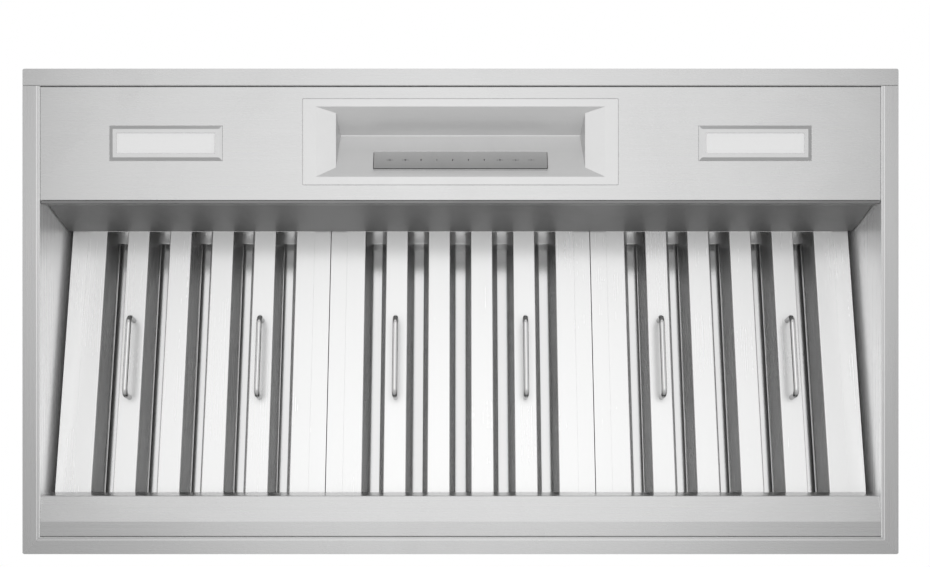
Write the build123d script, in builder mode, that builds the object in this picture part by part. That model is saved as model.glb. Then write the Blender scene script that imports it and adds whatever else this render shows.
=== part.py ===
"""Range hood insert: a flanged liner with a light panel, three baffle filters and a blower.

Frame: millimetres, +Z up to the duct, -Y towards the cook, +X to the right. The origin is the
centre of the rim, on the face that looks down into the room.
"""

import os
from math import cos, hypot, radians, sin

from build123d import *

os.makedirs("parts", exist_ok=True)

# ---------------------------------------------------------------- liner
rim_length = 1025.5  # left to right, over the flange
rim_depth = 568.3  # front to back, over the flange
rim_width = 20.0  # flange seen from below, with its bend
housing_height = 304.8  # rim to top panel
sheet = 1.2  # liner sheet thickness
rim_bend = 1.4  # radius between flange and wall, on the room side
rim_corner = 2.3  # radius of the flange's four outer corners
rim_step = 0.3  # shallow step pressed into the side and rear flanges, to stiffen them
rim_step_run = 1.0
rim_step_inset = 2.9  # wall to that step
top_lip = 18.0  # top panel's turned-down edge
seat = 0.3  # play between pieces that rest or fit together

opening_x = rim_length / 2 - rim_width  # half of the clear opening
opening_y = rim_depth / 2 - rim_width
roof_z = housing_height - sheet  # underside of the top panel

# ---------------------------------------------------------------- front light and control panel
panel_z = 2.0  # height of the panel's face above the rim
panel_depth = 134.4  # front wall to the panel's rear edge
panel_lip = 14.0  # turned-up edges of the panel
panel_bend = 1.4
panel_rear_y = panel_depth - opening_y

# ---------------------------------------------------------------- control bezel and its recess
bezel_length = 371.0
bezel_depth = 102.0
bezel_proud = 1.4  # how far the bezel stands below the panel face
bezel_chamfer = 1.0  # around its rim
bezel_front_gap = 14.4  # front wall to bezel
bezel_sheet = 1.5
bezel_corner = 1.8
recess_side_gap = 15.75  # bezel edge to recess mouth, at each end
recess_front_gap = 9.8  # the same at the front
recess_rear_gap = 9.9  # and at the rear
recess_height = 24.8  # mouth to valley line
valley_offset = 30.8  # mouth's front edge to valley line
valley_bend = 1.6
ramp_run = 23.4  # gentle end ramp
ramp_rise = 5.6
end_run = 4.0  # steep end facet
bar_length = 205.0  # touch control strip
bar_width = 24.4
bar_thickness = 4.0
bar_corner = 2.0
bar_chamfer = 0.8
bar_mouth_gap = 8.4  # recess mouth to the strip, along the facet

# ---------------------------------------------------------------- lights
light_length = 132.8
light_depth = 41.6
light_side_gap = 81.15  # side wall to light bezel
light_front_gap = 46.3  # front wall to light bezel
light_bevel = 4.2
light_ring = 4.6
light_proud = 1.6
light_face = 1.2  # thickness of the ring under the lens
light_wall = 1.5  # sleeve around the lens
light_sleeve = 9.0  # sleeve above the panel
lens_thickness = 2.5
led_base = 5.0
fin_height = 11.0
fin_pitch = 8.0
fin_sheet = 1.5

# ---------------------------------------------------------------- inner front wall and filter plane
wall_foot = 29.0  # vertical foot of the inner front wall
wall_inset = 3.2  # panel's rear edge to the wall's face
wall_lean = 27.0  # how far the wall leans back over its height
wall_lip_bend = 3.0
wall_end_gap = 1.2  # wall's ends to the side walls
filter_slope = 13.09  # degrees, falling to the rear
filter_plane_z = 87.1  # filter face above the middle of the rim
hem_bend = 1.2
ledge_width = 20.0  # flange at the top of the wall, under the filters
channel_room = 3.0  # play above the filters in the front channel
channel_roof = 36.0  # front channel's upper flange
channel_lap = 7.0  # channel's lower flange, short of the wall's edge

# ---------------------------------------------------------------- baffle filters
filter_count = 3
filter_gap = 0.9
filter_side_gap = 6.6  # outer filter to side wall
filter_sheet = 0.8
filter_height = 45.4
filter_front_lap = 11.5  # filter's high end past the edge of the ledge
lift_spare = 4.0  # travel past the lip, and play left in the front channel
side_rail = 20.0  # frame's room-side flange
side_rail_top = 14.0
end_rail = 11.0
end_rail_top = 14.0
baffle_count = 4  # narrow channels between the two edge channels
baffle_web = 26.7
baffle_gap = 26.2
baffle_depth = 27.0
baffle_flare = 6.7  # each side leans out by this much
baffle_bend = 1.2
back_web = 17.6
back_bend = 1.5
back_drop = 27.0
back_flare = 6.7
back_end_gap = 0.9  # back baffles' ends to the frame's upper flange

# ---------------------------------------------------------------- handles
handle_rod = 6.35
handle_span = 96.0  # between the two legs
handle_reach = 25.0  # baffle face to rod centre
handle_corner = 9.0
handle_middle_y = 58.0
handle_screw_depth = 12.0  # tapped hole in each leg
screw_play = 0.2

# ---------------------------------------------------------------- rear rail (grease trough)
trough_face = 47.55  # rear wall to the trough's lip
trough_lip_foot_z = 5.5
trough_slope_run = 29.8
trough_floor_z = 1.6
trough_ledge = 9.0
trough_upstand = 22.0
rail_bend = 1.3
rail_end_gap = 0.1

# ---------------------------------------------------------------- blower
wheel_radius = 64.0
wheel_eye = 52.0
wheel_width = 170.0
blade_count = 36
blade_sheet = 0.8
wheel_ring = 6.0
hub_radius = 12.0
hub_length = 26.0
shaft_radius = 4.0
bearing_play = 0.05
blower_sheet = 1.0
volute_start = 74.0  # first radius of the three-arc volute
volute_step = 10.0
side_play = 8.0  # wheel to side plate
outlet_wall = 16.0  # tongue wall in front of the wheel's axis
tongue_radius = 8.0
blower_drop = 84.0  # top panel to wheel axis
motor_radius = 42.0
motor_length = 82.0
motor_start = 22.0  # wheel's centre disc to motor
bearing_radius = 11.0
bearing_width = 7.0
inlet_radius = 48.0
inlet_flange = 64.0
inlet_depth = 7.0
inlet_round = 5.0
arm_width = 14.0
arm_radius = 72.0  # wheel axis to the arms' bosses
arm_sheet = 2.0
arm_count = 3
arm_angle = 30.0
band_width = 9.0
plate_rim = 4.0  # side plate past the wrapper
foot_width = 16.0
inlet_lap = 8.0
blade_lead = 5.0
blade_radius = 10.0
shaft_stub = 3.0
motor_round = 5.0

volute_front = volute_start + 3 * volute_step  # wheel axis to the volute's front wall
outlet_depth = volute_front - outlet_wall
blower_y = (volute_front + outlet_wall) / 2  # wheel axis, so that the outlet is central
blower_z = roof_z - blower_drop
scroll_half = wheel_width / 2 + side_play

# ---------------------------------------------------------------- duct collar and damper
collar_radius = 125.5
collar_height = 50.0
collar_sheet = 1.0
collar_flange = 14.0
axle_height = 16.0  # damper axle above the top panel
axle_radius = 2.5
bracket_depth = 6.0  # damper brackets, from the collar inwards
bracket_half = 5.0
stop_length = 9.0
stop_width = 12.0
stop_count = 4
stop_angle = 45.0
collar_screw_count = 8
screw_angle = 22.5
flap_sheet = 0.8
flap_play = 3.0  # flap to collar
knuckle_play = 0.3
knuckle_wall = 1.2
knuckle_length = 16.0
front_knuckle_x = 62.0  # the front flap's knuckles from the middle
rear_knuckle_x = 38.0
flap_edge = 5.0  # axle to each flap's straight edge

# ---------------------------------------------------------------- services and fasteners
hanger_inset_x = 52.75  # side wall to hanger hole
hanger_inset_y = 54.15
hanger_radius = 3.5
knockout_radius = 11.1
junction_side_gap = 107.75  # right wall to junction box
junction_rear_gap = 104.15
junction_length = 110.0
junction_depth = 80.0
junction_height = 42.0
box_sheet = 1.5
box_corner = 3.0
cover_lap = 12.0
driver_length = 150.0
driver_depth = 42.0
driver_height = 28.0
driver_side_gap = 117.75  # left wall to LED driver
driver_front_gap = 73.15
driver_foot = 12.0
module_length = 210.0
module_depth = 34.0
module_height = 14.0
capacitor_gap = 76.0  # blower to the capacitor's axis
capacitor_radius = 18.0
capacitor_length = 60.0
strap_foot = 12.0
strap_width = 16.0
screw_radius = 2.0
screw_head = 3.8
screw_head_height = 2.2
rivet_radius = 2.4
rivet_head = 4.8
rivet_head_height = 1.3
rivet_head_taper = 40.0  # degrees
rivet_spacing = 210.0  # about; a longer wall gets more rivets
rivet_end_gap = 60.0  # corner to the last rivet


# ================================================================ shared shapes
def bent_sheet(points, bend, thickness, side):
    """Section of a bent sheet whose seen side runs through the points."""
    with BuildSketch() as section:
        with BuildLine():
            FilletPolyline(*points, radius=bend)
            offset(amount=thickness, side=side)
        make_face()
    return section.sketch


def keep(builder, label):
    """Name a finished piece and write it."""
    builder.part.label = label
    export_step(builder.part, f"parts/{label}.step")


def screw(length):
    """A pan-head screw along Z: the head stands on the origin and the shank hangs below it."""
    with BuildPart() as body:
        with BuildSketch(Plane.XZ):
            with BuildLine():
                Polyline((0, screw_head_height), (screw_head / 2, screw_head_height))
                RadiusArc((screw_head / 2, screw_head_height), (screw_head, 0), screw_head * 0.7)
                Polyline((screw_head, 0), (screw_radius, 0), (screw_radius, -length), (0, -length),
                         (0, screw_head_height))
            make_face()
        revolve(axis=Axis.Z)
    return body.part


def slope_point(along, height):
    """Y and Z of a point in the filters' own frame: along the slope, and above their face."""
    lean = radians(filter_slope)
    return (along * cos(lean) + height * sin(lean),
            filter_plane_z - along * sin(lean) + height * cos(lean))


def slope_along(y, height):
    """Distance along the slope of the point that lies at y, at a height above the face."""
    lean = radians(filter_slope)
    return (y - height * sin(lean)) / cos(lean)


# ================================================================ housing walls
rivet_z = roof_z - top_lip / 2
rivet_gaps_x = round(2 * (opening_x - rivet_end_gap) / rivet_spacing)
rivet_gaps_y = round(2 * (opening_y - rivet_end_gap) / rivet_spacing)
rivet_count_x = rivet_gaps_x + 1
rivet_count_y = rivet_gaps_y + 1
rivet_pitch_x = 2 * (opening_x - rivet_end_gap) / rivet_gaps_x
rivet_pitch_y = 2 * (opening_y - rivet_end_gap) / rivet_gaps_y


def rivets(grow, reach):
    """Rivet shanks that join all four walls to the top panel's lip."""
    with BuildPart() as shanks:
        with BuildSketch(Plane.XZ):
            with Locations((0, rivet_z)):
                with GridLocations(rivet_pitch_x, 0, rivet_count_x, 1):
                    Circle(rivet_radius + grow)
        extrude(amount=opening_y + reach, both=True)
        with BuildSketch(Plane.YZ):
            with Locations((0, rivet_z)):
                with GridLocations(rivet_pitch_y, 0, rivet_count_y, 1):
                    Circle(rivet_radius + grow)
        extrude(amount=opening_x + reach, both=True)
        with BuildSketch(Plane.XY.offset(roof_z - top_lip)):
            Rectangle(2 * (opening_x - 2 * sheet), 2 * (opening_y - 2 * sheet))
        extrude(amount=top_lip, mode=Mode.SUBTRACT)
    return shanks.part


rivet_holes = rivets(screw_play, 2 * sheet)

with BuildPart() as rim_block:
    with BuildSketch():
        RectangleRounded(rim_length, rim_depth, rim_corner)
    extrude(amount=housing_height)

# The front wall carries the full-length front strip of the rim; the side strips butt against it.
with BuildPart() as front_wall:
    with BuildSketch(Plane.YZ.offset(-rim_length / 2)):
        add(bent_sheet([(-rim_depth / 2, 0), (-opening_y, 0), (-opening_y, roof_z)],
                       rim_bend, sheet, Side.LEFT))
    extrude(amount=rim_length)
    with BuildSketch(Plane.XY.offset(sheet)):
        with GridLocations(rim_length + 2 * (opening_x + sheet), 0, 2, 1):
            Rectangle(rim_length, rim_depth)
    extrude(amount=housing_height, mode=Mode.SUBTRACT)
    add(rim_block.part, mode=Mode.INTERSECT)
    add(rivet_holes, mode=Mode.SUBTRACT)
keep(front_wall, "front_wall")


def stepped_rim(outer, inner, side):
    """Section of a wall with its flange, which has a small step beside the wall."""
    direction = 1 if outer > 0 else -1
    edge = inner + direction * rim_step_inset
    return bent_sheet([(outer, 0), (edge + direction * rim_step_run, 0), (edge, rim_step),
                       (inner, rim_step), (inner, roof_z)], rim_bend, sheet, side)


# The rear wall is mitred into the side walls, so that no seam shows at the rear corners.
with BuildPart() as rear_wall:
    with BuildSketch(Plane.YZ.offset(-rim_length / 2)):
        add(stepped_rim(rim_depth / 2, opening_y, Side.RIGHT))
    extrude(amount=rim_length)
    for direction in (-1, 1):
        split(bisect_by=Plane(origin=(direction * opening_x, opening_y, 0), x_dir=(0, 0, 1),
                              z_dir=(-direction, 1, 0)), keep=Keep.TOP)
    add(rim_block.part, mode=Mode.INTERSECT)
    add(rivet_holes, mode=Mode.SUBTRACT)
keep(rear_wall, "rear_wall")

for name, direction, outer_side in (("left_wall", -1, Side.LEFT), ("right_wall", 1, Side.RIGHT)):
    with BuildPart() as side_wall:
        with BuildSketch(Plane.XZ.offset(opening_y)):
            add(stepped_rim(direction * rim_length / 2, direction * opening_x, outer_side))
        extrude(amount=-(opening_y + rim_depth / 2))
        split(bisect_by=Plane(origin=(direction * opening_x, opening_y, 0), x_dir=(0, 0, 1),
                              z_dir=(direction, -1, 0)), keep=Keep.TOP)
        add(rim_block.part, mode=Mode.INTERSECT)
        add(rivet_holes, mode=Mode.SUBTRACT)
    keep(side_wall, name)

# ================================================================ top panel
hanger_x = opening_x - hanger_inset_x
hanger_y = opening_y - hanger_inset_y
junction_x = opening_x - junction_side_gap - junction_length / 2
junction_y = opening_y - junction_rear_gap - junction_depth / 2
driver_x = driver_side_gap + driver_length / 2 - opening_x
driver_y = driver_front_gap + driver_depth / 2 - opening_y
plate_x = scroll_half + blower_sheet
plate_foot_x = plate_x + foot_width / 2
capacitor_x = -plate_x - capacitor_gap
strap_foot_x = capacitor_radius + seat + (box_sheet + strap_foot) / 2
driver_foot_x = (driver_length + driver_foot) / 2
screw_ring = collar_radius + collar_flange / 2
feet_under_roof = [(x, y) for x in (-plate_foot_x, plate_foot_x)
                   for y in (-outlet_depth / 4, outlet_depth / 4)]
feet_under_roof += [(capacitor_x + x, blower_y) for x in (-strap_foot_x, strap_foot_x)]
feet_under_roof += [(driver_x + x, driver_y) for x in (-driver_foot_x, driver_foot_x)]
with BuildPart() as top_panel:
    with BuildSketch(Plane.XY.offset(roof_z)):
        Rectangle(2 * (opening_x + sheet), 2 * (opening_y + sheet))
        Rectangle(2 * scroll_half, outlet_depth, mode=Mode.SUBTRACT)
        with GridLocations(2 * hanger_x, 2 * hanger_y, 2, 2):
            Circle(hanger_radius, mode=Mode.SUBTRACT)
        with Locations((junction_x, junction_y)):
            Circle(knockout_radius, mode=Mode.SUBTRACT)
        with PolarLocations(screw_ring, collar_screw_count, start_angle=screw_angle):
            Circle(screw_radius + screw_play, mode=Mode.SUBTRACT)
        with Locations(*feet_under_roof):
            Circle(screw_radius + screw_play, mode=Mode.SUBTRACT)
    extrude(amount=sheet)
    with BuildSketch(Plane.XY.offset(roof_z - top_lip)):
        Rectangle(2 * opening_x, 2 * opening_y)
        Rectangle(2 * (opening_x - sheet), 2 * (opening_y - sheet), mode=Mode.SUBTRACT)
    extrude(amount=top_lip)
    add(rivet_holes, mode=Mode.SUBTRACT)
keep(top_panel, "top_panel")

# ================================================================ light and control panel
bezel_y = bezel_front_gap + bezel_depth / 2 - opening_y
light_x = opening_x - light_side_gap - light_length / 2
light_y = light_front_gap + light_depth / 2 - opening_y
sleeve_length = light_length - 2 * light_bevel
sleeve_depth = light_depth - 2 * light_bevel
panel_length = 2 * (opening_x - seat)
bezel_seat = 6 * bezel_corner  # how much wider the bezel is than the hole that it covers
with BuildPart() as light_panel:
    with BuildSketch(Plane.YZ.offset(-panel_length / 2)):
        add(bent_sheet([(seat - opening_y, panel_z + panel_lip), (seat - opening_y, panel_z),
                        (panel_rear_y, panel_z), (panel_rear_y, panel_z + panel_lip)],
                       panel_bend, sheet, Side.LEFT))
    extrude(amount=panel_length)
    with BuildSketch(Plane.XY):
        with Locations((0, bezel_y)):
            Rectangle(bezel_length - bezel_seat, bezel_depth - bezel_seat)
        with Locations((-light_x, light_y), (light_x, light_y)):
            Rectangle(sleeve_length + 2 * seat, sleeve_depth + 2 * seat)
    extrude(amount=panel_z + panel_lip, mode=Mode.SUBTRACT)
keep(light_panel, "light_panel")

# ================================================================ control bezel
mouth_front_y = bezel_y - bezel_depth / 2 + recess_front_gap
mouth_rear_y = bezel_y + bezel_depth / 2 - recess_rear_gap
valley_y = mouth_front_y + valley_offset
bezel_face_z = panel_z - bezel_proud


def recess_form(grow):
    """The faceted hollow, a valley cut off by ramped ends; grow thickens it on every facet."""
    top = bezel_face_z + recess_height
    mouth_x = bezel_length / 2 - recess_side_gap
    ramp_x = mouth_x - ramp_run
    apex_x = ramp_x - end_run
    with BuildPart() as form:
        with BuildSketch(Plane.YZ.offset(-rim_length / 2)):
            Polygon((mouth_front_y, bezel_face_z), (mouth_rear_y, bezel_face_z), (valley_y, top),
                    align=None)
            section = offset(amount=grow, kind=Kind.INTERSECTION)
            fillet(section.vertices().sort_by(Axis.Y)[-1], valley_bend + grow)
        extrude(amount=rim_length)
        with BuildSketch(Plane.XZ.offset(-rim_depth)):
            Polygon((-mouth_x, bezel_face_z), (-ramp_x, bezel_face_z + ramp_rise), (-apex_x, top),
                    (apex_x, top), (ramp_x, bezel_face_z + ramp_rise), (mouth_x, bezel_face_z),
                    align=None)
            offset(amount=grow, kind=Kind.INTERSECTION)
        extrude(amount=2 * rim_depth, mode=Mode.INTERSECT)
        split(bisect_by=Plane.XY.offset(bezel_face_z), keep=Keep.TOP)
    return form.part


hollow = recess_form(0)
shell = recess_form(bezel_sheet)
with BuildPart() as control_bezel:
    with BuildSketch(Plane.XY.offset(bezel_face_z)):
        with Locations((0, bezel_y)):
            RectangleRounded(bezel_length, bezel_depth, bezel_corner)
    extrude(amount=bezel_proud)
    chamfer(control_bezel.faces().sort_by(Axis.Z)[0].edges(), bezel_chamfer)
    with BuildSketch(Plane.XY.offset(bezel_face_z)):
        with Locations((0, bezel_y)):
            Rectangle(bezel_length - bezel_seat - 2 * seat, bezel_depth - bezel_seat - 2 * seat)
    extrude(amount=bezel_proud + sheet)
    add(shell)
    add(hollow, mode=Mode.SUBTRACT)
keep(control_bezel, "control_bezel")

# The touch strip lies on the rear facet of the recess, and the control module behind it.
facet_run = mouth_rear_y - valley_y
facet_length = hypot(facet_run, recess_height)
strip_middle = bar_mouth_gap + bar_width / 2
strip_plane = Plane(
    origin=(0, mouth_rear_y - strip_middle * facet_run / facet_length,
            bezel_face_z + strip_middle * recess_height / facet_length),
    x_dir=(1, 0, 0),
    z_dir=(0, -recess_height, -facet_run),
)
with BuildPart() as control_strip:
    with BuildSketch(strip_plane):
        RectangleRounded(bar_length, bar_width, bar_corner)
    extrude(amount=bar_thickness)
    chamfer(control_strip.faces().sort_by(Axis((0, 0, 0), strip_plane.z_dir))[-1].edges(),
            bar_chamfer)
keep(control_strip, "control_strip")

with BuildPart() as control_module:
    with BuildSketch(strip_plane.offset(-bezel_sheet)):
        RectangleRounded(module_length, module_depth, bar_corner)
    extrude(amount=-module_height)
    fillet(control_module.faces().sort_by(Axis((0, 0, 0), strip_plane.z_dir))[0].edges(), bar_corner)
keep(control_module, "control_module")

# ================================================================ lights
ring_z = panel_z - light_proud
lens_z = ring_z + light_face
sleeve_top = panel_z + light_sleeve
window = (sleeve_length - 2 * light_ring, sleeve_depth - 2 * light_ring)
lens_size = (sleeve_length - 2 * (light_wall + seat), sleeve_depth - 2 * (light_wall + seat))
for side, x in (("left", -light_x), ("right", light_x)):
    with BuildPart() as light_bezel:
        with BuildSketch(Plane.XY.offset(panel_z)):
            with Locations((x, light_y)):
                Rectangle(light_length, light_depth)
        with BuildSketch(Plane.XY.offset(ring_z)):
            with Locations((x, light_y)):
                Rectangle(sleeve_length, sleeve_depth)
        loft()
        with BuildSketch(Plane.XY.offset(panel_z)):
            with Locations((x, light_y)):
                Rectangle(sleeve_length, sleeve_depth)
        extrude(amount=light_sleeve)
        with BuildSketch(Plane.XY.offset(lens_z)):
            with Locations((x, light_y)):
                Rectangle(sleeve_length - 2 * light_wall, sleeve_depth - 2 * light_wall)
        extrude(amount=light_sleeve + light_proud, mode=Mode.SUBTRACT)
        with BuildSketch(Plane.XY.offset(ring_z)):
            with Locations((x, light_y)):
                Rectangle(*window)
        extrude(amount=light_face, mode=Mode.SUBTRACT)
    keep(light_bezel, f"{side}_light_bezel")

    with BuildPart() as light_lens:
        with BuildSketch(Plane.XY.offset(lens_z)):
            with Locations((x, light_y)):
                Rectangle(*lens_size)
        extrude(amount=lens_thickness)
    keep(light_lens, f"{side}_light_lens")

    # The LED module closes the sleeve; its upper side is a finned heat sink.
    with BuildPart() as led_module:
        with BuildSketch(Plane.XY.offset(sleeve_top)):
            with Locations((x, light_y)):
                Rectangle(sleeve_length, sleeve_depth)
        extrude(amount=led_base)
        with BuildSketch(Plane.XY.offset(sleeve_top + led_base)):
            with Locations((x, light_y)):
                with GridLocations(fin_pitch, 0, int(sleeve_length // fin_pitch), 1):
                    Rectangle(fin_sheet, sleeve_depth)
        extrude(amount=fin_height)
    keep(led_module, f"{side}_led_module")

# ================================================================ inner front wall
lean = radians(filter_slope)
wall_y = panel_rear_y + wall_inset
lip_along = slope_along(wall_y + wall_lean, -seat)  # edge of the ledge, along the slope
with BuildPart() as inner_front_wall:
    with BuildSketch(Plane.YZ.offset(-(opening_x - wall_end_gap))):
        add(bent_sheet([(panel_rear_y + seat, panel_z), (wall_y, panel_z),
                        (wall_y, panel_z + wall_foot), slope_point(lip_along, -seat),
                        slope_point(lip_along - ledge_width, -seat)],
                       [hem_bend, rail_bend, wall_lip_bend], sheet, Side.LEFT))
    extrude(amount=2 * (opening_x - wall_end_gap))
keep(inner_front_wall, "inner_front_wall")

# ================================================================ filters
filter_width = (2 * opening_x - 2 * filter_side_gap - (filter_count - 1) * filter_gap) / filter_count
edge_web = (filter_width - (baffle_count + 1) * baffle_gap - baffle_count * baffle_web) / 2
frame_height = filter_height - filter_sheet
low_end = slope_along(opening_y - seat, filter_height)
high_end = lip_along - filter_front_lap
filter_length = low_end - high_end
filter_middle = (low_end + high_end) / 2
trough_lip_y = opening_y - trough_face
trough_lip = slope_along(trough_lip_y, -seat)
filter_lift = low_end - trough_lip + lift_spare
slope = Plane(origin=(0, 0, filter_plane_z), x_dir=(1, 0, 0), z_dir=(0, sin(lean), cos(lean)))
baffle_pitch = baffle_web + baffle_gap
baffle_length = filter_length - 2 * (filter_sheet + seat)
handle_middle = handle_middle_y / cos(lean)

print(f"filter travel {filter_lift:.1f} mm, filter {filter_width:.1f} x {filter_length:.1f} mm")

# The front channel holds the filters' high end and leaves room for the lift.
channel_web = high_end - filter_lift - lift_spare
channel_floor = -seat - sheet
with BuildPart() as front_filter_channel:
    with BuildSketch(Plane.YZ.offset(-(opening_x - seat))):
        add(bent_sheet([slope_point(lip_along - channel_lap, channel_floor),
                        slope_point(channel_web, channel_floor),
                        slope_point(channel_web, filter_height + channel_room),
                        slope_point(channel_web + channel_roof, filter_height + channel_room)],
                       rail_bend, sheet, Side.LEFT))
    extrude(amount=2 * (opening_x - seat))
keep(front_filter_channel, "front_filter_channel")


def along_plane(x):
    """Sketch plane across the filter's length: local X is X, local Y is the filter's height."""
    origin = slope.from_local_coords(Vector(x, low_end - filter_sheet - seat, 0))
    return Plane(origin=origin, x_dir=(1, 0, 0), z_dir=-slope.y_dir)


def open_channel(width, height, flare):
    """Room-side baffle: a flat web with two sides that lean out."""
    return bent_sheet([(-width / 2 - flare, height), (-width / 2, 0), (width / 2, 0),
                       (width / 2 + flare, height)], baffle_bend, filter_sheet, Side.LEFT)


sides = ("left", "centre", "right")
for index, side in enumerate(sides):
    middle_x = (index - (filter_count - 1) / 2) * (filter_width + filter_gap)
    handle_xs = [middle_x + k * (baffle_count - 1) / 2 * baffle_pitch for k in (-1, 1)]
    feet = [(x, handle_middle + k * handle_span / 2) for x in handle_xs for k in (-1, 1)]

    # Frame: a perimeter channel, open towards the middle.
    with BuildPart() as filter_frame:
        with BuildSketch(slope):
            with Locations((middle_x, filter_middle)):
                Rectangle(filter_width, filter_length)
                Rectangle(filter_width - 2 * side_rail, filter_length - 2 * end_rail,
                          mode=Mode.SUBTRACT)
        extrude(amount=filter_sheet)
        with BuildSketch(slope):
            with Locations((middle_x, filter_middle)):
                Rectangle(filter_width, filter_length)
                Rectangle(filter_width - 2 * filter_sheet, filter_length - 2 * filter_sheet,
                          mode=Mode.SUBTRACT)
        extrude(amount=frame_height)
        with BuildSketch(slope.offset(frame_height - filter_sheet)):
            with Locations((middle_x, filter_middle)):
                Rectangle(filter_width, filter_length)
                Rectangle(filter_width - 2 * side_rail_top, filter_length - 2 * end_rail_top,
                          mode=Mode.SUBTRACT)
        extrude(amount=filter_sheet)
    keep(filter_frame, f"{side}_filter_frame")

    # Room-side baffles lie on the frame's lower flanges, with their troughs open upwards.
    inset = filter_width / 2 - filter_sheet - seat
    with BuildPart() as filter_baffles:
        with BuildSketch(along_plane(middle_x)):
            with Locations((0, filter_sheet)):
                with GridLocations(baffle_pitch, 0, baffle_count, 1):
                    add(open_channel(baffle_web, baffle_depth, baffle_flare))
                add(bent_sheet([(-inset, 0), (edge_web - filter_width / 2, 0),
                                (edge_web - filter_width / 2 + baffle_flare, baffle_depth)],
                               baffle_bend, filter_sheet, Side.LEFT))
                add(bent_sheet([(filter_width / 2 - edge_web - baffle_flare, baffle_depth),
                                (filter_width / 2 - edge_web, 0), (inset, 0)],
                               baffle_bend, filter_sheet, Side.LEFT))
        extrude(amount=baffle_length)
        with BuildSketch(slope):
            with Locations(*feet):
                Circle(screw_radius + screw_play)
        extrude(amount=2 * filter_sheet + seat, mode=Mode.SUBTRACT)
    keep(filter_baffles, f"{side}_filter_baffles")

    # Back baffles: webs over the slots, with sides that lean out and hang down into the troughs.
    with BuildPart() as back_baffles:
        with BuildSketch(along_plane(middle_x)):
            with Locations((0, frame_height)):
                with GridLocations(baffle_pitch, 0, baffle_count + 1, 1):
                    add(bent_sheet([(-back_web / 2 - back_flare, -back_drop), (-back_web / 2, 0),
                                    (back_web / 2, 0), (back_web / 2 + back_flare, -back_drop)],
                                   back_bend, filter_sheet, Side.LEFT))
        extrude(amount=baffle_length)
        with BuildSketch(slope.offset(frame_height)):
            with Locations((middle_x, filter_middle)):
                with GridLocations(0, filter_length - end_rail_top, 1, 2):
                    Rectangle(filter_width, end_rail_top + 2 * back_end_gap)
        extrude(amount=-frame_height, mode=Mode.SUBTRACT)
    keep(back_baffles, f"{side}_filter_back_baffles")

    # Bail handles stand square on the second channel from each edge.
    for hand, x in zip(("left", "right"), handle_xs):
        handle_plane = Plane(
            origin=slope.from_local_coords(Vector(x, handle_middle, filter_sheet)),
            x_dir=slope.y_dir,
            z_dir=(-1, 0, 0),
        )
        with BuildPart() as handle:
            with BuildLine(handle_plane) as handle_path:
                FilletPolyline((-handle_span / 2, 0), (-handle_span / 2, handle_reach),
                               (handle_span / 2, handle_reach), (handle_span / 2, 0),
                               radius=handle_corner)
            with BuildSketch(Plane(origin=handle_path.line @ 0, z_dir=-slope.z_dir)):
                Circle(handle_rod / 2)
            sweep()
            with BuildSketch(slope.offset(filter_sheet)):
                with Locations(*[foot for foot in feet if abs(foot[0] - x) < handle_rod]):
                    Circle(screw_radius + screw_play)
            extrude(amount=-handle_screw_depth, mode=Mode.SUBTRACT)
        keep(handle, f"{side}_filter_handle_{hand}")

    with BuildPart() as handle_screws:
        with Locations(slope.offset(2 * filter_sheet + seat / 3)):
            with Locations(*feet):
                add(screw(handle_screw_depth - 2 * seat))
    keep(handle_screws, f"{side}_filter_handle_screws")

# ================================================================ rear rail (grease trough)
trough_bottom_y = trough_lip_y + trough_slope_run
with BuildPart() as rear_rail:
    with BuildSketch(Plane.YZ.offset(-(opening_x - rail_end_gap))):
        add(bent_sheet([slope_point(trough_lip + trough_ledge, -seat), slope_point(trough_lip, -seat),
                        (trough_lip_y, trough_lip_foot_z), (trough_bottom_y, trough_floor_z),
                        (opening_y, trough_floor_z), (opening_y, trough_floor_z + trough_upstand)],
                       rail_bend, sheet, Side.LEFT))
    extrude(amount=2 * (opening_x - rail_end_gap))
keep(rear_rail, "rear_rail")

# ================================================================ blower scroll
axis_point = (blower_y, blower_z)
volute_middle = volute_start + volute_step
volute_end = volute_start + 2 * volute_step
volute_top = blower_z + volute_start
tongue_y = blower_y - outlet_wall


def volute_path(roof):
    """Air side of the scroll: tongue, three quarter arcs of growing radius, then straight up."""
    Line((tongue_y, roof), (tongue_y, volute_top + tongue_radius))
    CenterArc((tongue_y + tongue_radius, volute_top + tongue_radius), tongue_radius, 180, 90)
    Line((tongue_y + tongue_radius, volute_top), (blower_y, volute_top))
    CenterArc(axis_point, volute_start, 90, -90)
    CenterArc((blower_y - volute_step, blower_z), volute_middle, 0, -90)
    CenterArc((blower_y - volute_step, blower_z + volute_step), volute_end, -90, -90)
    Line((blower_y - volute_step - volute_end, blower_z + volute_step),
         (blower_y - volute_step - volute_end, roof))


with BuildPart() as scroll_wrapper:
    with BuildSketch(Plane.YZ.offset(-scroll_half)):
        with BuildLine():
            volute_path(roof_z)
            offset(amount=blower_sheet, side=Side.LEFT)
        make_face()
    extrude(amount=2 * scroll_half)
keep(scroll_wrapper, "scroll_wrapper")

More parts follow.
